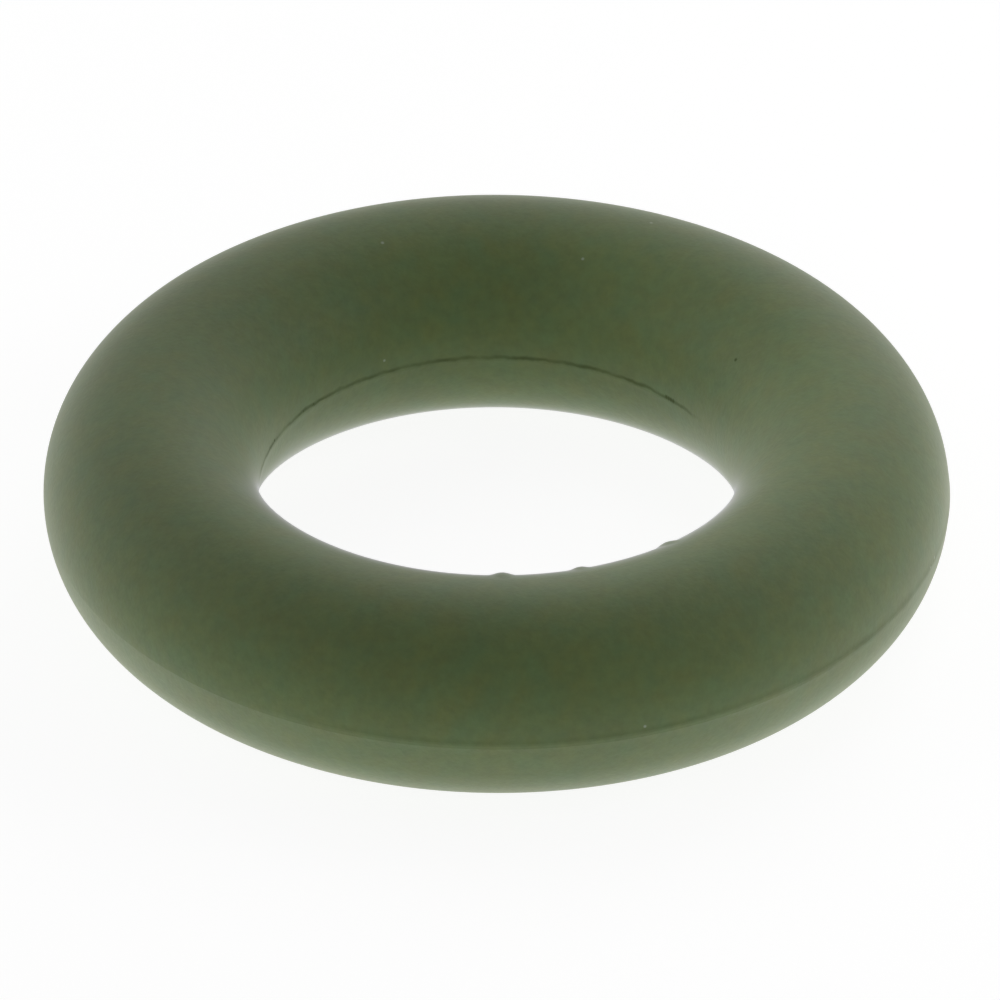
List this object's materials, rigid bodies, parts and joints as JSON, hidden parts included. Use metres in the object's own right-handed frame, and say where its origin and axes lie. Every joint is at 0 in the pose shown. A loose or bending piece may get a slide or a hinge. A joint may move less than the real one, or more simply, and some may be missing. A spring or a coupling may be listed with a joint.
{
  "type": "o-ring",
  "caption": "Moulded rubber sealing ring of round section, squeezed in a groove between a pipe, stem or plug and its housing to keep the joint tight.",
  "frame": {"origin": "centre of the ring, on its axis at mid height", "axes": "+Z along the ring's axis; X and Y across it, any way round, because the ring is turned about Z"},
  "size_m": [0.0102, 0.0102, 0.0024],
  "materials": {
    "green_rubber": "satin, lightly mottled, as moulded"
  },
  "bodies": {
    "root": {"o_ring": "green_rubber"}
  },
  "joints": []
}
